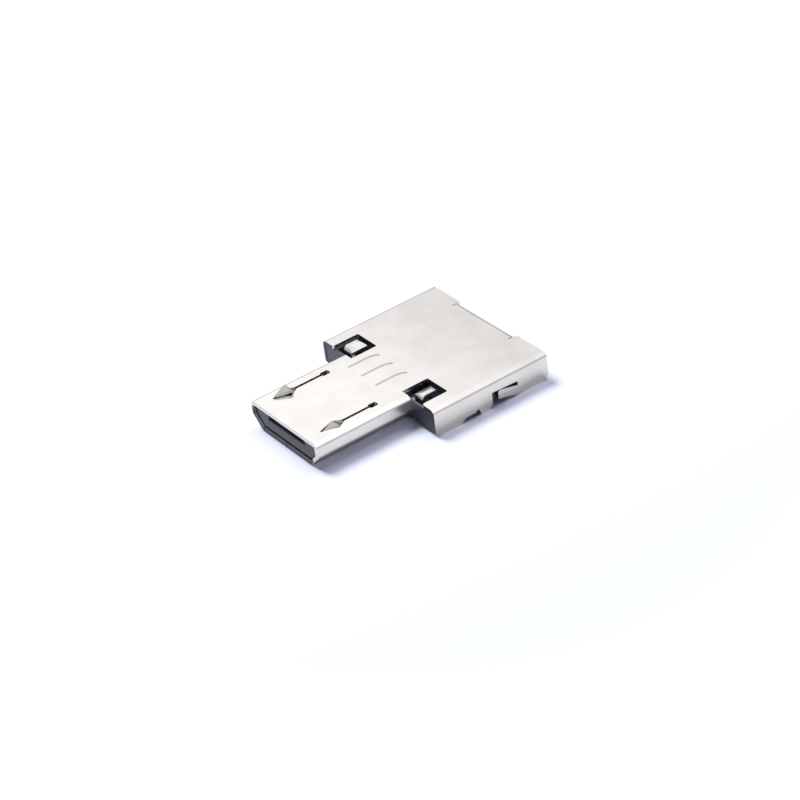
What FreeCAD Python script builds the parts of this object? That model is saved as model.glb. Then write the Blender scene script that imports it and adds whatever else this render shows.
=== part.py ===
import FreeCAD, Part
import math
import os

# A flat metal adapter: a micro plug at the front, four spring contacts under a wide body.
# Millimetres. X runs across, Y runs from the plug's tip to the rear, Z is up, the feet stand at 0.

Vector = FreeCAD.Vector

# The adapter as a whole
BODY_WIDTH = 11.3
BODY_LENGTH = 8.6
BODY_HEIGHT = 1.85
PLUG_LENGTH = 6.9
PLUG_WIDTH = 6.9
PLUG_HEIGHT = 1.82
FIT_GAP = 0.03

# How far a cutting shape reaches past what it cuts, the least radius of a bend, the most of
# an edge that one rounded corner takes, and the length below which an edge is left out
BEYOND = 1.0
LEAST_RADIUS = 0.02
CORNER_SHARE = 0.49
TINY = 1e-6

# The folded sheet
SHEET = 0.25
BEND_RADIUS = 0.35
PLUG_FLOOR_WIDTH = 5.1
BEVEL_HEIGHT = 0.85
BEVEL_RADIUS = 0.3
FLOOR_RADIUS = 0.35
MOUTH_ROUND = 0.07
SEAM_GAP = 0.05
DOVETAIL_PLACE = 3.0
DOVETAIL_LENGTH = 1.3
DOVETAIL_REACH = 0.7
DOVETAIL_FLARE = 0.2

# The side skirts, measured rearwards from the shoulder and up from the floor
TOE_RADIUS = 0.4
FOOT_LENGTH = 1.97
FOOT_SLOPE = 0.28
SHELF_HEIGHT = 0.28
SHELF_LENGTH = 0.75
NICK_WIDTH = 0.4
NICK_DEPTH = 0.2
HEEL_LENGTH = 0.9
HEEL_RADIUS = 0.4
NOTCH_WIDTH = 0.49
NOTCH_FROM_TOP = 0.8
SLIT_FALL = 0.1
SLIT_HEIGHT = 0.09
SLIT_REAR_HEIGHT = 0.28
FINGER_LENGTH = 1.46
FINGER_LIFT = 0.31
FINGER_INSET = 0.06
FINGER_TIP_RADIUS = 0.2
FINGER_CHIN = 0.22
FINGER_CLEARANCE = 0.09
ROOT_REACH = 0.15
TAIL_RADIUS = 0.55
SMALL_ROUND = 0.08

# The windows, the neck grooves and the rear lip of the cover
WINDOW_INNER = 2.57
WINDOW_OUTER = 4.54
WINDOW_LENGTH = 1.92
WINDOW_LIP_ROUND = 0.2
GROOVE_PLACES = (-1.9, -0.55, 0.9)
GROOVE_WIDTH = 0.2
GROOVE_DEPTH = 0.12
GROOVE_AHEAD = 0.65
GROOVE_BEHIND = 0.74
GROOVE_HOOK_RADIUS = 1.0
GROOVE_HOOK_TURN = 38.0
LIP_WIDTH = 5.5
LIP_SETBACK = 0.05
LIP_RADIUS = 0.6
LIP_DROP = 0.8
LIP_RELIEF = 0.06

# The two latches and their slots
LATCH_PLACE = 2.45
LATCH_THICKNESS = 0.18
LATCH_ARM_WIDTH = 0.36
LATCH_ARM_DEPTH = 0.5
HEAD_TIP = 1.12
HEAD_LENGTH = 1.0
HEAD_HALF_WIDTH = 0.4
HEAD_ROUND = 0.15
HEAD_NECK_WIDTH = 0.24
HEAD_FALL = 0.17
HEAD_TIP_WIDTH = 0.06
NECK_RUN = 0.55
NECK_GAP = 0.05
NECK_SINK = 0.4
NECK_LEAD = 0.1
ARM_FLARE = 0.27
HOOK_RISE_LEFT = 0.3
HOOK_RISE_RIGHT = 0.05
ARM_CLEARANCE = 0.05
SLOT_CLEARANCE = 0.03
SLOT_TIP_WIDTH = 0.1
SLOT_TIP_AHEAD = 0.12
PIT_AHEAD = 0.18
SLIT_WIDTH = 0.2
SLIT_LENGTH = 1.9
KEYHOLE_WIDTH = 0.42
KEYHOLE_LENGTH = 0.56
KEYHOLE_RADIUS = 0.14
TAB_PLACE = 3.6
TAB_WIDTH = 0.8
TAB_LENGTH = 1.25
TAB_AHEAD = 0.43
TAB_ABOVE_TOP = 0.08
TAB_BEND = 0.38
TAB_SLOPE_WIDTH = 0.48
TAB_SLOPE_DROP = 0.2
TAB_RIDGE_ROUND = 0.2
TAB_EDGE_ROUND = 0.05
LATCH_TRAVEL = 0.3

# The moulding inside the plug
NOSE_RECESS = 0.17
NOSE_STEP = 0.07
NOSE_STEP_LENGTH = 0.2
NOSE_BAR = 0.45
HOLLOW_WIDTH = 3.8
HOLLOW_HEIGHT = 0.62
HOLLOW_LENGTH = 5.0
HOLLOW_LEAD_IN = 0.05
CORE_LENGTH = 1.75
CONTACT_CLEARANCE = 0.05

# The moulding under the cover
BASE_LIFT = 0.3
BASE_CORNER = 0.15
FRONT_WALL = 0.2

# Five plug contacts, from the supply to the ground
PLUG_PITCH = 0.65
PLUG_CONTACT_WIDTH = 0.35
STRIP = 0.15
PLUG_TAIL_DEPTH = 0.3
PLUG_CROWN_RISE = 0.17
PLUG_CROWN_PLACE = 1.4
PLUG_TIP_RUN = 0.6
PLUG_TIP_DROP = 0.3
PLUG_CROWN_RADIUS = 0.3
PLUG_BEND_RADIUS = 0.6
PLUG_TRAVEL = 0.15
LAP_LENGTH = 0.36
LAP_GAP = 0.01
LAP_STEP = 0.65

# Four base contacts, from the supply to the ground
INNER_PITCH = 2.0
OUTER_PITCH = 2.5
BASE_CONTACT_WIDTH = 0.9
CROWN_PLACE = 6.35
CROWN_RADIUS = 0.4
CROWN_CLEARANCE = 0.02
BASE_TIP_RUN = 0.75
BASE_TIP_RISE = 0.4
BASE_KNEE_RUN = 0.35
BASE_KNEE_RADIUS = 0.45
BASE_TRAVEL = 0.25
SLOT_ROOM = 0.1

# Places that follow from the sizes
y_rear = (BODY_LENGTH + PLUG_LENGTH) / 2
y_tip = -y_rear
y_shoulder = y_rear - BODY_LENGTH
half_body = BODY_WIDTH / 2
half_plug = PLUG_WIDTH / 2
top = BODY_HEIGHT
under_top = top - SHEET
plug_floor = top - PLUG_HEIGHT
moulding_top = under_top - FIT_GAP
window_rear = y_shoulder + WINDOW_LENGTH
notch_start = y_shoulder + FOOT_LENGTH + FOOT_SLOPE + SHELF_LENGTH + NICK_WIDTH + HEEL_LENGTH
notch_end = notch_start + NOTCH_WIDTH
finger_root = notch_end + FINGER_LENGTH
notch_top = top - NOTCH_FROM_TOP
slit_rear_top = notch_top - SLIT_FALL
root_low = FINGER_LIFT * ROOT_REACH / (FINGER_LENGTH + ROOT_REACH - FINGER_CHIN)
lip_face = y_rear - LIP_SETBACK
finger_turn = math.degrees(math.asin(FINGER_INSET / FINGER_LENGTH))

# Latch levels: the arm lies flat under the cover, and its bridge stands on a ledge
arm_top = under_top - LATCH_ARM_DEPTH + LATCH_THICKNESS
arm_low = arm_top - LATCH_THICKNESS
tab_front = y_shoulder + TAB_AHEAD
tab_rear = tab_front + TAB_LENGTH
tab_top = top + TAB_ABOVE_TOP
head_tip = y_tip + HEAD_TIP
head_wing = head_tip + HEAD_LENGTH
latch_pivot_y = tab_rear - LATCH_THICKNESS / 2
latch_channel_floor = arm_low - LATCH_TRAVEL - ARM_CLEARANCE

# Contact levels: a plug contact's tail lies over the root of its base contact
hollow_floor = under_top - HOLLOW_HEIGHT
hollow_end = y_tip + HOLLOW_LENGTH
core_end = y_shoulder + CORE_LENGTH
tail_low = hollow_floor - PLUG_TAIL_DEPTH
tail_middle = tail_low + STRIP / 2
root_middle = tail_low - LAP_GAP - STRIP / 2
outer_lap = core_end + LAP_LENGTH
inner_lap = outer_lap + LAP_STEP
crown_y = y_shoulder + CROWN_PLACE
crown_middle = CROWN_CLEARANCE + STRIP / 2
base_tip_z = crown_middle + BASE_TIP_RISE
base_tip_y = crown_y + BASE_TIP_RUN
contact_slot_floor = tail_low - PLUG_TRAVEL - CONTACT_CLEARANCE
root_pivot = inner_lap - LAP_LENGTH / 2
tip_rise = BASE_TRAVEL * (base_tip_y - root_pivot) / (crown_y - root_pivot)
base_slot_top = max(base_tip_z + STRIP + tip_rise, root_middle + STRIP / 2) + SLOT_ROOM
recess_top = max(tail_low + STRIP + PLUG_TRAVEL + CONTACT_CLEARANCE, base_slot_top)

contact_names = ("vbus", "data_minus", "data_plus", "id", "ground")
plug_places = [PLUG_PITCH * (i - 2) for i in range(5)]
base_places = {
    "vbus": -INNER_PITCH / 2 - OUTER_PITCH,
    "data_minus": -INNER_PITCH / 2,
    "data_plus": INNER_PITCH / 2,
    "ground": INNER_PITCH / 2 + OUTER_PITCH,
}


def rounded_face(corners, place):
    """A flat face. Each corner is (a, b, radius), and place puts (a, b) in space."""
    count = len(corners)
    joints = []
    for i, (a, b, radius) in enumerate(corners):
        here = Vector(a, b, 0)
        back = Vector(*corners[i - 1][:2], 0) - here
        ahead = Vector(*corners[(i + 1) % count][:2], 0) - here
        half = back.getAngle(ahead) / 2
        if radius <= 0 or abs(half - math.pi / 2) < TINY:
            joints.append((here, here, here))
            continue
        reach = min(radius / math.tan(half), CORNER_SHARE * min(back.Length, ahead.Length))
        radius = reach * math.tan(half)
        back.normalize()
        ahead.normalize()
        middle = (back + ahead).normalize() * (radius / math.sin(half) - radius)
        joints.append((here + back * reach, here + middle, here + ahead * reach))
    edges = []
    for i, (start, middle, end) in enumerate(joints):
        before = joints[i - 1][2]
        if before.distanceToPoint(start) > TINY:
            edges.append(Part.makeLine(place(before.x, before.y), place(start.x, start.y)))
        if start.distanceToPoint(end) > TINY:
            points = [place(p.x, p.y) for p in (start, middle, end)]
            edges.append(Part.Arc(*points).toShape())
    return Part.Face(Part.Wire(edges))


def prism_x(corners, x_low, x_high):
    """A profile in Y and Z, carried across from x_low to x_high."""
    face = rounded_face(corners, lambda a, b: Vector(x_low, a, b))
    return face.extrude(Vector(x_high - x_low, 0, 0))


def prism_y(corners, y_low, y_high):
    """A profile in X and Z, carried rearwards from y_low to y_high."""
    face = rounded_face(corners, lambda a, b: Vector(a, y_low, b))
    return face.extrude(Vector(0, y_high - y_low, 0))


def prism_z(corners, z_low, z_high):
    """A plan outline, carried up from z_low to z_high."""
    face = rounded_face(corners, lambda a, b: Vector(a, b, z_low))
    return face.extrude(Vector(0, 0, z_high - z_low))


def block(x_low, x_high, y_low, y_high, z_low, z_high):
    """A plain rectangular block between two corners."""
    size = (x_high - x_low, y_high - y_low, z_high - z_low)
    return Part.makeBox(*size, Vector(x_low, y_low, z_low))


def mirrored(shape):
    """The same piece on the other side of the middle."""
    return shape.mirror(Vector(0, 0, 0), Vector(1, 0, 0))


def both_sides(shape):
    """A cutter or a piece for the right side, and its copy for the left."""
    return [shape, mirrored(shape)]


def inset(corners, distance):
    """The outline moved inwards by an even distance; its corners run anticlockwise."""
    count = len(corners)
    moved = []
    for i, (a, b, radius) in enumerate(corners):
        here = Vector(a, b, 0)
        before = here - Vector(*corners[i - 1][:2], 0)
        after = Vector(*corners[(i + 1) % count][:2], 0) - here
        before.normalize()
        after.normalize()
        left_before = Vector(-before.y, before.x, 0)
        left_after = Vector(-after.y, after.x, 0)
        shift = (left_before + left_after) * (distance / (1 + left_before.dot(left_after)))
        moved.append((a + shift.x, b + shift.y, max(radius - distance, LEAST_RADIUS)))
    return moved


def strip(path, thickness):
    """The outline of a strip of even thickness, bent along a path of (a, b, radius)."""
    left = []
    right = []
    for i, (a, b, radius) in enumerate(path):
        here = Vector(a, b, 0)
        before = here - Vector(*path[i - 1][:2], 0) if i else None
        after = Vector(*path[i + 1][:2], 0) - here if i < len(path) - 1 else None
        before = (before or after).normalize()
        after = (after or before).normalize()
        side_before = Vector(-before.y, before.x, 0)
        side_after = Vector(-after.y, after.x, 0)
        side = (side_before + side_after) * (thickness / 2 / (1 + side_before.dot(side_after)))
        turns_left = before.x * after.y - before.y * after.x > 0
        grow = -thickness / 2 if turns_left else thickness / 2
        left.append((a + side.x, b + side.y, max(radius + grow, LEAST_RADIUS) if radius else 0))
        right.append((a - side.x, b - side.y, max(radius - grow, LEAST_RADIUS) if radius else 0))
    return left + right[::-1]


def export(name, shape):
    """Writes one piece and prints what it measures."""
    shape = shape.removeSplitter()
    if len(shape.Solids) == 1:
        shape = shape.Solids[0]
    shape.exportStep("parts/" + name + ".step")
    box = shape.BoundBox
    size = "%.2f x %.2f x %.2f" % (box.XLength, box.YLength, box.ZLength)
    print(name, len(shape.Solids), "solid", shape.isValid(), size, "volume %.3f" % shape.Volume)


# The shell


def tube_outline():
    """The plug seen from the front: wide face up, bevelled towards the floor."""
    floor = PLUG_FLOOR_WIDTH / 2
    shoulder = plug_floor + BEVEL_HEIGHT
    return [
        (floor, plug_floor, FLOOR_RADIUS),
        (half_plug, shoulder, BEVEL_RADIUS),
        (half_plug, top, BEND_RADIUS),
        (-half_plug, top, BEND_RADIUS),
        (-half_plug, shoulder, BEVEL_RADIUS),
        (-floor, plug_floor, FLOOR_RADIUS),
    ]


def plug_tube():
    """The folded tube of the plug, with a rounded mouth and a dovetailed seam below."""
    solid = prism_y(tube_outline(), y_tip, y_shoulder)
    rim = [edge for edge in solid.Edges if edge.BoundBox.YMax < y_tip + TINY]
    solid = solid.makeFillet(MOUTH_ROUND, rim)
    hollow = prism_y(inset(tube_outline(), SHEET), y_tip - BEYOND, y_shoulder + BEYOND)
    start = y_tip + DOVETAIL_PLACE
    end = start + DOVETAIL_LENGTH
    seam = [
        (0, y_tip - BEYOND, 0),
        (0, start, 0),
        (DOVETAIL_REACH, start - DOVETAIL_FLARE, 0),
        (DOVETAIL_REACH, end + DOVETAIL_FLARE, 0),
        (0, end, 0),
        (0, y_shoulder + BEYOND, 0),
    ]
    seam_cutter = prism_z(strip(seam, SEAM_GAP), plug_floor - BEYOND, plug_floor + SHEET + FIT_GAP)
    return solid.cut([hollow, seam_cutter])


def cover_channel():
    """The cover and both skirts, bent from one sheet, before their edges are trimmed."""
    outer = [
        (half_body, 0, 0),
        (half_body, top, BEND_RADIUS),
        (-half_body, top, BEND_RADIUS),
        (-half_body, 0, 0),
    ]
    hollow = [
        (half_body - SHEET, -BEYOND, 0),
        (half_body - SHEET, under_top, BEND_RADIUS - SHEET),
        (SHEET - half_body, under_top, BEND_RADIUS - SHEET),
        (SHEET - half_body, -BEYOND, 0),
    ]
    channel = prism_y(outer, y_shoulder, y_rear)
    return channel.cut(prism_y(hollow, y_shoulder - BEYOND, y_rear + BEYOND))


def skirt_profile():
    """The cover from the side: toe, shelf, nick, heel, notch and rounded tail."""
    foot_end = y_shoulder + FOOT_LENGTH
    shelf_start = foot_end + FOOT_SLOPE
    shelf_end = shelf_start + SHELF_LENGTH
    nick = shelf_end + NICK_WIDTH / 2
    heel = shelf_end + NICK_WIDTH
    return [
        (y_shoulder, 0, TOE_RADIUS),
        (foot_end, 0, SMALL_ROUND),
        (shelf_start, SHELF_HEIGHT, SMALL_ROUND),
        (shelf_end, SHELF_HEIGHT, SMALL_ROUND),
        (nick, SHELF_HEIGHT + NICK_DEPTH, SMALL_ROUND / 2),
        (heel, 0, SMALL_ROUND),
        (notch_start, 0, HEEL_RADIUS),
        (notch_start, notch_top, SMALL_ROUND),
        (finger_root, slit_rear_top, SMALL_ROUND),
        (finger_root, root_low, 0),
        (finger_root + ROOT_REACH, 0, SMALL_ROUND),
        (y_rear, 0, TAIL_RADIUS),
        (y_rear, top + BEYOND, 0),
        (y_shoulder, top + BEYOND, 0),
    ]


def finger():
    """The right skirt's spring finger, bent inwards about the line where it joins the skirt."""
    profile = [
        (finger_root, root_low, 0),
        (finger_root, slit_rear_top - SLIT_REAR_HEIGHT, 0),
        (notch_end, notch_top - SLIT_HEIGHT, FINGER_TIP_RADIUS),
        (notch_end, FINGER_LIFT, FINGER_TIP_RADIUS),
        (notch_end + FINGER_CHIN, FINGER_LIFT, FINGER_TIP_RADIUS),
    ]
    flat = prism_x(profile, half_body - SHEET, half_body)
    return flat.rotate(Vector(half_body, finger_root, 0), Vector(0, 0, 1), -finger_turn)


def window_cutter():
    """The opening beside the neck on the right, open at the shoulder."""
    outline = [
        (WINDOW_INNER, y_shoulder - BEYOND, 0),
        (WINDOW_OUTER + 2 * WINDOW_LIP_ROUND, y_shoulder - BEYOND, 0),
        (WINDOW_OUTER + 2 * WINDOW_LIP_ROUND, y_shoulder, 0),
        (WINDOW_OUTER, y_shoulder, WINDOW_LIP_ROUND),
        (WINDOW_OUTER, window_rear, SMALL_ROUND),
        (WINDOW_INNER, window_rear, SMALL_ROUND),
    ]
    return prism_z(outline, under_top - SHEET, top + BEYOND)


def groove_cutter(x):
    """One shallow groove of the neck: a straight run that ends in a short bend."""
    start = y_shoulder - GROOVE_AHEAD
    bend = y_shoulder + GROOVE_BEHIND
    depth = top - GROOVE_DEPTH
    height = GROOVE_DEPTH + BEYOND
    half = GROOVE_WIDTH / 2
    run = block(x - half, x + half, start, bend, depth, depth + height)
    centre = Vector(x + GROOVE_HOOK_RADIUS, bend, depth)
    outer = Part.makeCylinder(GROOVE_HOOK_RADIUS + half, height, centre, Vector(0, 0, 1), GROOVE_HOOK_TURN)
    inner = Part.makeCylinder(GROOVE_HOOK_RADIUS - half, height, centre)
    hook = outer.cut(inner).rotate(centre, Vector(0, 0, 1), 180 - GROOVE_HOOK_TURN)
    turn = math.radians(GROOVE_HOOK_TURN)
    end = centre + Vector(-math.cos(turn), math.sin(turn), 0) * GROOVE_HOOK_RADIUS
    ends = [Part.makeCylinder(half, height, Vector(x, start, depth)), Part.makeCylinder(half, height, end)]
    return run.fuse([hook] + ends)


def latch_slot():
    """The right slot of the plug: arrowhead, slit and keyhole."""
    wing = HEAD_HALF_WIDTH + SLOT_CLEARANCE
    tip = head_tip - SLOT_TIP_AHEAD
    slit_start = head_wing + NECK_RUN
    keyhole = slit_start + SLIT_LENGTH
    half = SLIT_WIDTH / 2
    outline = [
        (LATCH_PLACE - SLOT_TIP_WIDTH / 2, tip, 0),
        (LATCH_PLACE + SLOT_TIP_WIDTH / 2, tip, 0),
        (LATCH_PLACE + wing, head_wing, HEAD_ROUND),
        (LATCH_PLACE + half, slit_start, 0),
        (LATCH_PLACE + half, keyhole, 0),
        (LATCH_PLACE + KEYHOLE_WIDTH / 2, keyhole, KEYHOLE_RADIUS),
        (LATCH_PLACE + KEYHOLE_WIDTH / 2, keyhole + KEYHOLE_LENGTH, KEYHOLE_RADIUS),
        (LATCH_PLACE - KEYHOLE_WIDTH / 2, keyhole + KEYHOLE_LENGTH, KEYHOLE_RADIUS),
        (LATCH_PLACE - KEYHOLE_WIDTH / 2, keyhole, KEYHOLE_RADIUS),
        (LATCH_PLACE - half, keyhole, 0),
        (LATCH_PLACE - half, slit_start, 0),
        (LATCH_PLACE - wing, head_wing, HEAD_ROUND),
    ]
    return prism_z(outline, under_top - FIT_GAP, top + BEYOND)


def rear_lip():
    """The middle of the rear edge, curled down."""
    start = lip_face - LIP_RADIUS - SHEET
    profile = [
        (start, under_top, 0),
        (lip_face - SHEET, under_top, LIP_RADIUS - SHEET),
        (lip_face - SHEET, top - LIP_DROP, 0),
        (lip_face, top - LIP_DROP, 0),
        (lip_face, top, LIP_RADIUS),
        (start, top, 0),
    ]
    return prism_x(profile, -LIP_WIDTH / 2, LIP_WIDTH / 2)


def shell():
    """The whole folded sheet."""
    cover = cover_channel().common(prism_x(skirt_profile(), -half_body - BEYOND, half_body + BEYOND))
    reach = LIP_WIDTH / 2 + LIP_RELIEF
    lip_start = lip_face - LIP_RADIUS
    cover = cover.cut(block(-reach, reach, lip_start, y_rear + BEYOND, under_top - FIT_GAP, top + BEYOND))
    cover = cover.cut(both_sides(window_cutter()))
    whole = cover.fuse([plug_tube(), rear_lip()] + both_sides(finger()))
    cutters = both_sides(latch_slot()) + [groove_cutter(x) for x in GROOVE_PLACES]
    return whole.cut(cutters)


# The latches


def bridge_form(wall, reach):
    """The bridge of the right latch as a full block, or the room under its roof with a wall."""
    roof = tab_top - wall
    low = arm_low - reach
    side = [
        (tab_front + wall, low, 0),
        (tab_front + wall, roof, TAB_BEND - wall),
        (tab_rear - wall, roof, TAB_BEND - wall),
        (tab_rear - wall, low, 0),
    ]
    left = TAB_PLACE - TAB_WIDTH / 2
    right = TAB_PLACE + TAB_WIDTH / 2
    fall = TAB_SLOPE_DROP / TAB_SLOPE_WIDTH
    round_edge = 0 if reach else TAB_EDGE_ROUND
    section = [
        (left - reach, low, 0),
        (right + reach, low, 0),
        (right + reach, roof, round_edge),
        (left + TAB_SLOPE_WIDTH, roof, TAB_RIDGE_ROUND),
        (left - reach, roof - TAB_SLOPE_DROP - fall * reach, round_edge),
    ]
    return prism_x(side, left - reach, right + reach).common(prism_y(section, tab_front, tab_rear))


def latch(hook_rise):
    """The right latch: arrow hook, arm under the cover, and a bridge that shows in the window."""
    half = LATCH_THICKNESS / 2
    middle = arm_low + half
    crest = top + hook_rise - half
    neck = head_wing + NECK_RUN
    side = [
        (head_tip, crest - HEAD_FALL, 0),
        (head_wing, crest, half),
        (neck, under_top - NECK_GAP - LATCH_THICKNESS, LATCH_THICKNESS),
        (neck + NECK_SINK, middle, LATCH_THICKNESS),
        (tab_front + half, middle, 0),
    ]
    left, right = LATCH_PLACE - LATCH_ARM_WIDTH / 2, LATCH_PLACE + LATCH_ARM_WIDTH / 2
    neck_half = HEAD_NECK_WIDTH / 2
    plan = [
        (LATCH_PLACE - HEAD_TIP_WIDTH / 2, head_tip, 0),
        (LATCH_PLACE + HEAD_TIP_WIDTH / 2, head_tip, 0),
        (LATCH_PLACE + HEAD_HALF_WIDTH, head_wing, HEAD_ROUND),
        (LATCH_PLACE + neck_half, neck - NECK_LEAD, 0),
        (LATCH_PLACE + neck_half, neck + half, 0),
        (right, neck + ARM_FLARE, 0),
        (right, tab_front + half, 0),
        (left, tab_front + half, 0),
        (left, neck + ARM_FLARE, 0),
        (LATCH_PLACE - neck_half, neck + half, 0),
        (LATCH_PLACE - neck_half, neck - NECK_LEAD, 0),
        (LATCH_PLACE - HEAD_HALF_WIDTH, head_wing, HEAD_ROUND),
    ]
    reach = HEAD_HALF_WIDTH + BEYOND
    arm = prism_x(strip(side, LATCH_THICKNESS), LATCH_PLACE - reach, LATCH_PLACE + reach)
    arm = arm.common(prism_z(plan, 0, top + BEYOND))
    tab_right = TAB_PLACE + TAB_WIDTH / 2
    foot = block(left, tab_right, tab_front, tab_front + LATCH_ARM_WIDTH, arm_low, arm_top)
    bridge = bridge_form(0, 0).cut(bridge_form(LATCH_THICKNESS, BEYOND))
    return arm.fuse([foot, bridge])


def latch_room():
    """The space that a latch needs in the mouldings on the right: pit, channel and pocket."""
    arm = LATCH_ARM_WIDTH / 2 + ARM_CLEARANCE
    head = HEAD_HALF_WIDTH + ARM_CLEARANCE
    floor = latch_channel_floor
    pit = block(LATCH_PLACE - head, LATCH_PLACE + head, head_tip - PIT_AHEAD,
                head_wing + NECK_RUN, floor, top)
    channel = block(LATCH_PLACE - arm, LATCH_PLACE + arm, head_wing, y_shoulder + FRONT_WALL, floor, top)
    inner = LATCH_PLACE - arm
    pocket = block(inner, WINDOW_OUTER - SHEET / 2, y_shoulder + FRONT_WALL, window_rear, floor, top)
    ledge = block(TAB_PLACE - TAB_WIDTH / 2, WINDOW_OUTER, latch_pivot_y - LATCH_THICKNESS / 2,
                  window_rear + BEYOND, floor - BEYOND, arm_low)
    return pit.fuse([channel, pocket.cut(ledge)])


# The mouldings


def plug_insulator():
    """The moulding in the tube, with the hollow, the contact slots and a block under the neck."""
    section = inset(tube_outline(), SHEET + FIT_GAP)
    nose = y_tip + NOSE_RECESS
    body = prism_y(section, nose + NOSE_STEP_LENGTH, y_shoulder)
    body = body.fuse(prism_y(inset(section, NOSE_STEP), nose, nose + NOSE_STEP_LENGTH))
    half = WINDOW_INNER - FIT_GAP
    body = body.fuse(block(-half, half, y_shoulder, core_end, BASE_LIFT, moulding_top))
    side = HOLLOW_WIDTH / 2
    lead_in = [
        (nose, hollow_floor - HOLLOW_LEAD_IN, 0),
        (nose + HOLLOW_LEAD_IN, hollow_floor, 0),
        (nose, hollow_floor, 0),
    ]
    hollow = block(-side, side, nose - BEYOND, hollow_end, hollow_floor, top)
    cutters = [hollow, prism_x(lead_in, -side, side)] + both_sides(latch_room())
    slot_half = PLUG_CONTACT_WIDTH / 2 + CONTACT_CLEARANCE
    tunnel_top = tail_low + STRIP + CONTACT_CLEARANCE
    for x in plug_places:
        left, right = x - slot_half, x + slot_half
        cutters.append(block(left, right, nose + NOSE_BAR, hollow_end, contact_slot_floor, top))
        cutters.append(block(left, right, hollow_end, core_end + BEYOND, contact_slot_floor, tunnel_top))
    return body.cut(cutters)


def finger_pocket():
    """The pocket in the right side of the base moulding that takes the shell's finger."""
    depth = SHEET + FINGER_INSET + FINGER_CLEARANCE
    front = notch_end - FINGER_CLEARANCE
    return block(half_body - depth, half_body, front, finger_root, -BEYOND, notch_top)


def base_insulator():
    """The moulding under the cover, open below for the four springs."""
    side = half_body - SHEET - FIT_GAP
    section = [
        (side, BASE_LIFT, 0),
        (side, moulding_top, BASE_CORNER),
        (-side, moulding_top, BASE_CORNER),
        (-side, BASE_LIFT, 0),
    ]
    front = y_shoulder + FIT_GAP
    rear = lip_face - SHEET - FIT_GAP
    side_view = [
        (front, 0, 0),
        (rear, 0, 0),
        (rear, moulding_top, LIP_RADIUS - SHEET),
        (front, moulding_top, 0),
    ]
    body = prism_y(section, front, rear).common(prism_x(side_view, -half_body, half_body))
    core = block(-WINDOW_INNER, WINDOW_INNER, y_shoulder - BEYOND, core_end + FIT_GAP, -BEYOND, top)
    root_reach = base_places["ground"] + BASE_CONTACT_WIDTH / 2 + CONTACT_CLEARANCE
    recess_rear = inner_lap + CONTACT_CLEARANCE
    recess = block(-root_reach, root_reach, core_end, recess_rear, -BEYOND, recess_top)
    slots = []
    slot_half = BASE_CONTACT_WIDTH / 2 + CONTACT_CLEARANCE
    slot_rear = base_tip_y + SLOT_ROOM
    for x in base_places.values():
        slots.append(block(x - slot_half, x + slot_half, core_end, slot_rear, -BEYOND, base_slot_top))
    cutters = [core, recess] + slots + both_sides(latch_room()) + both_sides(finger_pocket())
    return body.cut(cutters)


# The contacts


def lap_end(name):
    """Where a plug contact's tail ends: the two data contacts reach further back."""
    return inner_lap if name.startswith("data") else outer_lap


def plug_contact(name, x):
    """A thin spring: crown in the hollow, beam in its slot, tail over its base contact."""
    crown_y_front = y_tip + PLUG_CROWN_PLACE
    crown_z = hollow_floor + PLUG_CROWN_RISE - STRIP / 2
    side = [
        (crown_y_front - PLUG_TIP_RUN, crown_z - PLUG_TIP_DROP, 0),
        (crown_y_front, crown_z, PLUG_CROWN_RADIUS),
        (hollow_end, tail_middle, PLUG_BEND_RADIUS),
        (lap_end(name), tail_middle, 0),
    ]
    half = PLUG_CONTACT_WIDTH / 2
    return prism_x(strip(side, STRIP), x - half, x + half)


def base_contact(name, x):
    """A wide spring: root plate under the tails, beam in its slot, crown level with the feet."""
    lap = lap_end(name)
    side = [
        (lap - LAP_LENGTH, root_middle, 0),
        (lap + BASE_KNEE_RUN, root_middle, BASE_KNEE_RADIUS),
        (crown_y, crown_middle, CROWN_RADIUS),
        (base_tip_y, base_tip_z, 0),
    ]
    half = BASE_CONTACT_WIDTH / 2
    spring = prism_x(strip(side, STRIP), x - half, x + half)
    tails = {name: plug_places[contact_names.index(name)]}
    if name == "ground":
        tails["id"] = plug_places[contact_names.index("id")]
    reach = PLUG_CONTACT_WIDTH / 2
    left = min([x - half] + [place - reach for place in tails.values()])
    right = max([x + half] + [place + reach for place in tails.values()])
    low = root_middle - STRIP / 2
    plate = block(left, right, lap - LAP_LENGTH, lap, low, low + STRIP)
    return spring.fuse(plate)


os.makedirs("parts", exist_ok=True)
export("shell", shell())
export("latch_right", latch(HOOK_RISE_RIGHT))
export("latch_left", mirrored(latch(HOOK_RISE_LEFT)))
export("plug_insulator", plug_insulator())
export("base_insulator", base_insulator())
for contact, place in zip(contact_names, plug_places):
    export("plug_contact_" + contact, plug_contact(contact, place))
for contact, place in base_places.items():
    export("base_contact_" + contact, base_contact(contact, place))
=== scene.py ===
# %% [markdown]
# # Dressing a flat metal adapter for its picture
# The adapter is a stamped steel shell around two black mouldings, with two spring latches in its
# plug and nine gold-plated contacts inside. The construction comes ready made, in millimetres of
# real size. What is left to do here is what the eye sees first: steel that looks like thin, bright
# sheet, plastic that looks moulded, gold that looks plated, and the calm light of a product photo.

# %% Load the frame
import math

import bpy
import numpy as np
from mathutils import Matrix, Vector


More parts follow.
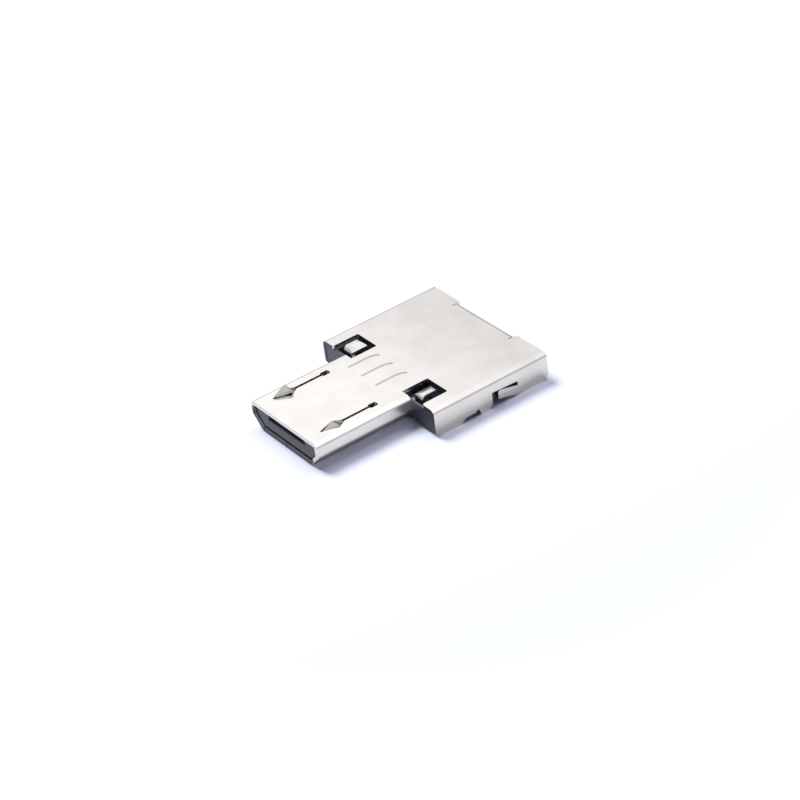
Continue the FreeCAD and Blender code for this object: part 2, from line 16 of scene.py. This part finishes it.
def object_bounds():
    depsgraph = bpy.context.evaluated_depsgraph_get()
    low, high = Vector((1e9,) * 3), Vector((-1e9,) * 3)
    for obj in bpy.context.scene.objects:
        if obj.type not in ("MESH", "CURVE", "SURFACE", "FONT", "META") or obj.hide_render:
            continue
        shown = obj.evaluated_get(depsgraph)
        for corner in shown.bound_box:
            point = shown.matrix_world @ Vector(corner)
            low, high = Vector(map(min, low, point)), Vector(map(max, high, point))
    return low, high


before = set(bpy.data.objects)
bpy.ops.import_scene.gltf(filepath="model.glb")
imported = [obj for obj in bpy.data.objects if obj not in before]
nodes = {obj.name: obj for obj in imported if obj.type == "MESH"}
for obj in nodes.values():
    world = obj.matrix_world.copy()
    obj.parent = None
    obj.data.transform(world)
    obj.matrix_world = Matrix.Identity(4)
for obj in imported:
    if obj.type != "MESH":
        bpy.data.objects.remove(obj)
cad_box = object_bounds()

MM = 0.001
size_mm = [round((high - low) / MM, 2) for low, high in zip(*cad_box)]
print("the frame holds", len(nodes), "nodes, and measures", size_mm, "mm")

# %% [markdown]
# ## The camera
# A product photo of something this small is taken from far away with a long lens, so that the two
# sides look nearly parallel. The viewing direction is written as two angles round the object, and
# the camera is also tilted a little about its own line of sight. An `up` and a `right` vector make
# that tilt easy to see: turn both by the same angle, and put them in the camera's matrix.

# %% Set up the camera
AZIMUTH = math.radians(57.76)
ELEVATION = math.radians(33.26)
ROLL = math.radians(-7.97)
DISTANCE = 150 * MM
CLIP = (0.1 * DISTANCE, 20 * DISTANCE)
LENS = 111.83
AIM = Vector((0, 0, 1.0 * MM))
PICTURE_SIDE = 800
AIM_PIXEL = (389.25, 380.66)


def look_at_part():
    """A camera at two angles and a distance from the aim point, rolled about its line of sight."""
    back = Vector((
        math.sin(AZIMUTH) * math.cos(ELEVATION),
        -math.cos(AZIMUTH) * math.cos(ELEVATION),
        math.sin(ELEVATION),
    ))
    level = Vector((math.cos(AZIMUTH), math.sin(AZIMUTH), 0))
    upright = back.cross(level)
    right = math.cos(ROLL) * level + math.sin(ROLL) * upright
    up = math.cos(ROLL) * upright - math.sin(ROLL) * level
    camera = bpy.data.objects.new("camera", bpy.data.cameras.new("camera"))
    turn = Matrix((right, up, back)).transposed().to_4x4()
    camera.matrix_world = Matrix.Translation(AIM + back * DISTANCE) @ turn
    camera.data.lens = LENS
    camera.data.shift_x = 0.5 - AIM_PIXEL[0] / PICTURE_SIDE
    camera.data.shift_y = AIM_PIXEL[1] / PICTURE_SIDE - 0.5
    camera.data.clip_start, camera.data.clip_end = CLIP
    bpy.context.scene.collection.objects.link(camera)
    bpy.context.scene.camera = camera
    return camera


camera = look_at_part()
print("lens", LENS, "mm, shift", round(camera.data.shift_x, 4), round(camera.data.shift_y, 4))

# %% [markdown]
# ## Shader maths that reads like maths
# A finish is mostly arithmetic: a noise times a share, plus a mask, clamped between two limits.
# Wiring that by hand hides the idea, so a small class wraps one socket and gives it Python's
# operators. The reflected forms let a plain number come first, as in `1 - mask`. Everything that isn't
# arithmetic comes from one method, which takes a node's kind, its settings and its sockets.


# %% Define the shader helpers
class Signal:
    """A value that varies over a surface: one output socket with Python's operators on it."""

    def __init__(self, paint, socket):
        self.paint = paint
        self.socket = socket

    def math(self, operation, first, second):
        return self.paint.node("ShaderNodeMath", {"operation": operation}, {0: first, 1: second})

    def __add__(self, other):
        return self.math("ADD", self, other)

    def __mul__(self, other):
        return self.math("MULTIPLY", self, other)

    def __pow__(self, other):
        return self.math("POWER", self, other)

    def __rsub__(self, other):
        return self.math("SUBTRACT", other, self)

    __radd__ = __add__

    def ramp(self, low, high):
        """0 below low, 1 above high, and a straight line in between; low may be the larger."""
        return self.paint.node("ShaderNodeMapRange", {"clamp": True}, {0: self, 1: low, 2: high})

    def clamped(self):
        """The same value, kept between 0 and 1."""
        return self.ramp(0.0, 1.0)


class Paint:
    """A node tree under construction, and the parts that every finish here needs."""

    def __init__(self, tree):
        self.tree = tree
        tree.nodes.clear()

    def node(self, kind, settings=None, sockets=None, out=0):
        """Adds a node, with its settings first and then its sockets, and returns one output."""
        made = self.tree.nodes.new(kind)
        for name, value in (settings or {}).items():
            setattr(made, name, value)
        for name, value in (sockets or {}).items():
            if isinstance(value, Signal):
                self.tree.links.new(value.socket, made.inputs[name])
            else:
                made.inputs[name].default_value = value
        return Signal(self, made.outputs[out]) if made.outputs else None

    def place(self, stretch=(1, 1, 1)):
        """The point on the piece in millimetres, with its axes stretched for a pattern."""
        point = self.node("ShaderNodeTexCoord", out="Object")
        scale = [share / MM for share in stretch]
        return self.node("ShaderNodeMapping", sockets={"Vector": point, "Scale": scale})

    def along(self, axis):
        """How far along one axis of the frame a point lies, in millimetres."""
        return self.node("ShaderNodeSeparateXYZ", sockets={"Vector": self.place()}, out=axis)

    def noise(self, point, scale, detail, roughness=0.5):
        """Soft noise from 0 to 1, with about `scale` bumps in a millimetre."""
        sockets = {"Vector": point, "Scale": scale, "Detail": detail, "Roughness": roughness}
        return self.node("ShaderNodeTexNoise", sockets=sockets)

    def mix(self, share, first, second):
        """A colour between two colours, which a Mix node takes in sockets 6 and 7 and gives in 2."""
        return self.node("ShaderNodeMix", {"data_type": "RGBA"}, {0: share, 6: first, 7: second}, out=2)

    def bump(self, height, depth):
        """A normal from a height of 0 to 1 that stands for `depth` metres."""
        return self.node("ShaderNodeBump", sockets={"Height": height, "Distance": depth, "Strength": 1.0})


def colour(red, green, blue):
    """A colour given as screen values from 0 to 255, turned into linear light by the sRGB curve."""
    share = np.array([red, green, blue]) / 255
    linear = np.where(share <= 0.04045, share / 12.92, ((share + 0.055) / 1.055) ** 2.4)
    return (*linear.tolist(), 1.0)


def finish_named(name):
    """A new material and the Paint that fills it."""
    material = bpy.data.materials.new(name)
    material.use_nodes = True
    return material, Paint(material.node_tree)


def surface(paint, **sockets):
    """Ends a finish in one Principled shader; names are written with _ for a space."""
    named = {name.replace("_", " "): value for name, value in sockets.items()}
    shader = paint.node("ShaderNodeBsdfPrincipled", sockets=named)
    paint.node("ShaderNodeOutputMaterial", sockets={"Surface": shader})


def wear(material, *names):
    """Gives CAD nodes this material in every slot they have."""
    for name in names:
        slots = nodes[name].data.materials
        if not slots:
            slots.append(material)
        for index in range(len(slots)):
            slots[index] = material


# %% [markdown]
# ## Bright rolled steel
# The shell is stainless sheet a quarter of a millimetre thick. Rolling leaves very fine lines along
# the strip, and stamping and handling leave faint cloudy patches. Both are far too small to model,
# so they are a roughness that varies and a bump of less than a micrometre. The colour itself
# hardly changes: a metal gets its tones from what it reflects. The wide top of the body is a shade
# darker than the plug, and the body's skirts keep the plug's brighter tone, painted lighter to offset
# the shade they mirror from the floor. Two places get painted shade: the sheet's cut edges that face
# forward, which a press also leaves matt and torn, and the three grooves of the neck. The top and
# the right of the mouth's rim are left out of that shade, where light falls on them.
#
# A mask says where each of these tones goes. It compares a place, in millimetres of the frame, or a
# direction with two limits: the mask is 0 at the first one and 1 at the second.

# %% Paint the shell
STEEL = colour(246, 243, 240)
STEEL_DULL = colour(238, 234, 230)
# The body's top tone; the skirts use the brighter STEEL, painted lighter to offset the shade they mirror.
BODY_STEEL = colour(221, 218, 216)
BODY_DULL = colour(210, 207, 205)
BODY_LIMITS = (-3.0, 6.0)
TOP_LIMITS = (0.2, 0.9)
# Painted shade for the cut edges that face forward, over their real matt finish.
SHEARED_EDGE_SHADE = colour(92, 96, 110)
FRONT_LIMITS = (-0.8, -0.95)
SHOULDER_LIMITS = (-1.2, -1.0)
MOUTH_TOP_LIMITS = (1.5, 1.4)
MOUTH_RIGHT_LIMITS = (2.9, 2.8)
# Painted shade in the three grooves of the neck.
GROOVE_SHADE = colour(232, 229, 226)
GROOVE_LIMITS = (1.84, 1.77)
GROOVE_HALF = 2.3
GROOVE_ENDS = (-1.7, 0.7)
GROOVE_BLUR = 0.01
STEEL_GRAIN = (26.0, 1.4, 26.0)
CLOUD_LIMITS = (0.38, 0.66)
CLOUD_DULLS = 0.7
SPECK_LIMITS = (0.66, 0.78)
SPECK_DULLS = 0.3
STEEL_ROUGHNESS = 0.15
LINE_ROUGHENS = 0.1
CLOUD_ROUGHENS = 0.07
SPECK_ROUGHENS = 0.08
SHEARING_ROUGHENS = 0.25
STEEL_RELIEF = 0.0008 * MM
LINE_RISE = 0.8
CLOUD_RISE = 0.6


def groove_shade_mask(paint):
    """1 in the three grooves of the neck, where shade is painted: a box round them, below the level of
    the top.
    """
    x = paint.along("X")
    y = paint.along("Y")
    low = paint.along("Z").ramp(*GROOVE_LIMITS)
    start, end = GROOVE_ENDS
    across = (x * x).ramp(GROOVE_HALF**2 + GROOVE_BLUR, GROOVE_HALF**2)
    return low * across * y.ramp(start - GROOVE_BLUR, start) * y.ramp(end + GROOVE_BLUR, end)


def facing(paint, axis):
    """How far the surface faces along one axis: 1 squarely, 0 edge on and -1 the other way."""
    normal = paint.node("ShaderNodeTexCoord", out="Normal")
    return paint.node("ShaderNodeSeparateXYZ", sockets={"Vector": normal}, out=axis)


def sheared_edge_shade_mask(paint):
    """1 on the edges of the sheet that face along -Y, the body's and the lower ones of the plug, where
    shade is painted.
    """
    front = facing(paint, "Y").ramp(*FRONT_LIMITS)
    body = paint.along("Y").ramp(*SHOULDER_LIMITS)
    low = paint.along("Z").ramp(*MOUTH_TOP_LIMITS)
    left = paint.along("X").ramp(*MOUTH_RIGHT_LIMITS)
    return front * (body + low * left).clamped()


def shell_finish():
    """Rolled steel: lines along the strip, clouds and specks, a darker body top, and painted shade on the
    front edges and in the grooves.
    """
    material, paint = finish_named("bright_rolled_steel")
    point = paint.place()
    lines = paint.noise(paint.place(STEEL_GRAIN), scale=1.0, detail=4.0, roughness=0.65)
    clouds = paint.noise(point, scale=0.55, detail=2.0)
    specks = paint.noise(point, scale=7.0, detail=2.0).ramp(*SPECK_LIMITS)
    dull = clouds.ramp(*CLOUD_LIMITS) * CLOUD_DULLS + specks * SPECK_DULLS
    # The body's top takes the darker steel; its skirts take the brighter tone, painted lighter against
    # the shade they mirror.
    body = paint.along("Y").ramp(*BODY_LIMITS) * facing(paint, "Z").ramp(*TOP_LIMITS)
    front_and_brightened_skirt_steel = paint.mix(dull, STEEL, STEEL_DULL)
    body_steel = paint.mix(dull, BODY_STEEL, BODY_DULL)
    matt_and_shaded_edge = sheared_edge_shade_mask(paint)
    tone = paint.mix(body, front_and_brightened_skirt_steel, body_steel)
    # Painted shade darkens the grooves of the neck.
    tone = paint.mix(groove_shade_mask(paint), tone, GROOVE_SHADE)
    # The forward-facing cut edges get painted shade, but not the top and right of the mouth's rim, where
    # light falls.
    tone = paint.mix(matt_and_shaded_edge, tone, SHEARED_EDGE_SHADE)
    roughness = STEEL_ROUGHNESS + lines * LINE_ROUGHENS + clouds * CLOUD_ROUGHENS
    roughness = roughness + specks * SPECK_ROUGHENS + matt_and_shaded_edge * SHEARING_ROUGHENS
    relief = paint.bump(lines * LINE_RISE + clouds * CLOUD_RISE, STEEL_RELIEF)
    surface(paint, Base_Color=tone, Metallic=1.0, Roughness=roughness, Normal=relief)
    return material


wear(shell_finish(), "shell")
print("the shell wears rolled steel")

# %% [markdown]
# ## Spring steel for the latches
# The latches are a harder strip with the cloudy look of tumbled parts. Their hooks are painted a
# shaded grey and the bridges in the windows a lit near-white, and the hooks are also rougher.

# %% Paint the latches
# The bridges are painted as lit steel and the hooks as shaded steel.
LIT_BRIDGE = colour(232, 231, 230)
LIT_BRIDGE_DULL = colour(214, 212, 209)
SHADED_HOOK = colour(188, 186, 182)
SHADED_HOOK_DULL = colour(170, 168, 163)
HOOK_LIMITS = (-3.5, -5.0)
PATCH_LIMITS = (0.35, 0.7)
SPRING_ROUGHNESS = 0.22
PEBBLE_ROUGHENS = 0.16
HOOK_ROUGHENS = 0.1
SPRING_RELIEF = 0.002 * MM


def latch_finish():
    """Tumbled steel with soft patches, painted shaded grey and rougher towards the hook, lit near-white
    on the bridges.
    """
    material, paint = finish_named("tumbled_spring_steel")
    point = paint.place()
    pebbles = paint.noise(point, scale=9.0, detail=3.0, roughness=0.6)
    patches = paint.noise(point, scale=2.0, detail=2.0).ramp(*PATCH_LIMITS)
    hook = paint.along("Y").ramp(*HOOK_LIMITS)
    lit_bridge_steel = paint.mix(patches, LIT_BRIDGE, LIT_BRIDGE_DULL)
    shaded_hook_steel = paint.mix(patches, SHADED_HOOK, SHADED_HOOK_DULL)
    # Painted light: the bridge tone is the lit copy and the hook tone the shaded one.
    tone = paint.mix(hook, lit_bridge_steel, shaded_hook_steel)
    roughness = SPRING_ROUGHNESS + pebbles * PEBBLE_ROUGHENS + hook * HOOK_ROUGHENS
    relief = paint.bump(pebbles, SPRING_RELIEF)
    surface(paint, Base_Color=tone, Metallic=1.0, Roughness=roughness, Normal=relief)
    return material


wear(latch_finish(), "latch_left", "latch_right")
print("the latches wear spring steel")

# %% [markdown]
# ## Moulded black plastic
# The mouldings are a heat-proof plastic with glass fibre in it. It is near black with a slightly
# blue sheen, satin rather than matt, and finely spark-eroded: the mould's grain is about a
# twenty-fifth of a millimetre across.

# %% Paint the mouldings
PLASTIC = colour(40, 47, 62)
PLASTIC_PALE = colour(56, 62, 78)
PLASTIC_IOR = 1.9
PLASTIC_ROUGHNESS = 0.36
MOULD_GRAIN_ROUGHENS = 0.14
FLOW = (0.5, 1.6, 0.5)
FLOW_LIMITS = (0.35, 0.7)
FLOW_ROUGHENS = 0.06
PLASTIC_RELIEF = 0.003 * MM


def moulding_finish():
    """Satin black plastic: an even fine grain over pale streaks where the plastic flowed."""
    material, paint = finish_named("satin_black_moulding")
    point = paint.place()
    grain = paint.noise(point, scale=24.0, detail=3.0, roughness=0.6)
    flow = paint.noise(paint.place(FLOW), scale=1.2, detail=3.0)
    tone = paint.mix(flow.ramp(*FLOW_LIMITS), PLASTIC, PLASTIC_PALE)
    roughness = PLASTIC_ROUGHNESS + grain * MOULD_GRAIN_ROUGHENS + flow * FLOW_ROUGHENS
    relief = paint.bump(grain, PLASTIC_RELIEF)
    surface(paint, Base_Color=tone, Roughness=roughness, IOR=PLASTIC_IOR, Normal=relief)
    return material


wear(moulding_finish(), "plug_insulator", "base_insulator")
print("the mouldings wear black plastic")

# %% [markdown]
# ## Gold on springs
# The contacts are copper alloy with a thin gold plating. Gold this thin keeps the rolling lines of
# the strip under it, and its tone drifts a little between a paler and a deeper gold.

# %% Paint the contacts
GOLD = colour(238, 203, 138)
GOLD_DEEP = colour(214, 170, 98)
GOLD_GRAIN = (20.0, 2.0, 20.0)
GOLD_LIMITS = (0.35, 0.7)
GOLD_ROUGHNESS = 0.2
GOLD_LINE_ROUGHENS = 0.12
GOLD_CLOUD_ROUGHENS = 0.06
GOLD_RELIEF = 0.001 * MM


def contact_finish():
    """Thin gold over a rolled strip: lines along it, and clouds of a deeper gold."""
    material, paint = finish_named("plated_gold")
    lines = paint.noise(paint.place(GOLD_GRAIN), scale=1.0, detail=4.0, roughness=0.6)
    clouds = paint.noise(paint.place(), scale=1.6, detail=2.0)
    tone = paint.mix(clouds.ramp(*GOLD_LIMITS), GOLD, GOLD_DEEP)
    roughness = GOLD_ROUGHNESS + lines * GOLD_LINE_ROUGHENS + clouds * GOLD_CLOUD_ROUGHENS
    relief = paint.bump(lines, GOLD_RELIEF)
    surface(paint, Base_Color=tone, Metallic=1.0, Roughness=roughness, Normal=relief)
    return material


contacts = [name for name in nodes if "_contact_" in name]
wear(contact_finish(), *contacts)
print(len(contacts), "contacts wear gold")

# %% [markdown]
# ## Floor and light
# The photo was taken on white, with so much soft light that the floor disappears and only a bluish
# shadow is left under the part. A floor lit to pure white would burn out the steel as well, so the
# floor is an ordinary pale one, and only the camera sees it in a brighter colour. The shadow still
# shows, because less light reaches the floor there. The colour gets brighter still with the distance
# from the part, `sqrt(x^2 + y^2)` in millimetres, because the lamps' light fades out that way.
#
# Two soft lamps hang over the part, the stronger one to the left and the other one to the rear. They
# light the floor and the plastic, but the steel doesn't mirror them: it mirrors the sky, which is
# dim at the horizon and bright overhead, so that every bend shows a dark line beside a bright one.

# %% Lay the floor
FLOOR_SIDE = 1.2
FLOOR_COLOUR = colour(238, 240, 245)
FLOOR_NEAR = (1.1, 1.14, 1.37, 1.0)
FLOOR_FAR = (5.0, 5.0, 5.0, 1.0)
FLOOR_FADE = (25.0, 350.0)


def ray_is(paint, kind):
    """1 for rays of one kind, such as Camera or Glossy, and 0 for all others."""
    return paint.node("ShaderNodeLightPath", out="Is " + kind + " Ray")


def lay_floor():
    """A square of four points, which the camera sees in a brighter colour than the light does."""
    half = FLOOR_SIDE / 2
    corners = np.array([(-half, -half, 0), (half, -half, 0), (half, half, 0), (-half, half, 0)])
    mesh = bpy.data.meshes.new("floor")
    mesh.from_pydata(corners, [], [(0, 1, 2, 3)])
    floor = bpy.data.objects.new("floor", mesh)
    bpy.context.scene.collection.objects.link(floor)
    material, paint = finish_named("pale_floor")
    x, y = paint.along("X"), paint.along("Y")
    bright = paint.mix(((x * x + y * y) ** 0.5).ramp(*FLOOR_FADE), FLOOR_NEAR, FLOOR_FAR)
    tone = paint.mix(ray_is(paint, "Camera"), FLOOR_COLOUR, bright)
    matt = paint.node("ShaderNodeBsdfDiffuse", sockets={"Color": tone})
    paint.node("ShaderNodeOutputMaterial", sockets={"Surface": matt})
    mesh.materials.append(material)


lay_floor()
print("the floor is", FLOOR_SIDE, "m wide")

# %% Hang the lights
SKY_LIGHT = 0.05
SKY_COLOUR = colour(190, 200, 255)
HORIZON = 0.2
SKY_CLIMB = 1.0
SKY_LIMITS = (0.0, 0.6)
WHITE = (1.0, 1.0, 1.0, 1.0)


def paint_sky():
    """A dim bluish sky that lights, a brighter one that is mirrored, and white for the camera."""
    world = bpy.data.worlds.new("studio")
    bpy.context.scene.world = world
    world.use_nodes = True
    paint = Paint(world.node_tree)
    direction = paint.node("ShaderNodeTexCoord", out="Generated")
    height = paint.node("ShaderNodeSeparateXYZ", sockets={"Vector": direction}, out="Z")
    shine = HORIZON + height.ramp(*SKY_LIMITS) * SKY_CLIMB
    mirrored = (ray_is(paint, "Glossy") + ray_is(paint, "Transmission")).clamped()
    camera_sees = ray_is(paint, "Camera")
    lights = 1 - (mirrored + camera_sees).clamped()
    strength = camera_sees + mirrored * (1 - camera_sees) * shine + lights * SKY_LIGHT
    tint = paint.mix(lights, WHITE, SKY_COLOUR)
    sky = paint.node("ShaderNodeBackground", sockets={"Color": tint, "Strength": strength})
    paint.node("ShaderNodeOutputWorld", sockets={"Surface": sky})


def softbox(name, place, side, power):
    """A square lamp with a side in metres and a power in watts; the part doesn't mirror it."""
    lamp = bpy.data.lights.new(name, "AREA")
    lamp.size = side
    lamp.energy = power
    box = bpy.data.objects.new(name, lamp)
    box.location = place
    box.rotation_mode = "QUATERNION"
    box.rotation_quaternion = Vector(place).to_track_quat("Z", "Y")
    box.visible_glossy = False
    bpy.context.scene.collection.objects.link(box)


paint_sky()
softbox("left_key", place=(-0.23, -0.04, 0.38), side=0.2, power=1.75)
softbox("rear_key", place=(-0.02, 0.2, 0.4), side=0.24, power=0.5)
bpy.context.scene.view_settings.view_transform = "Standard"
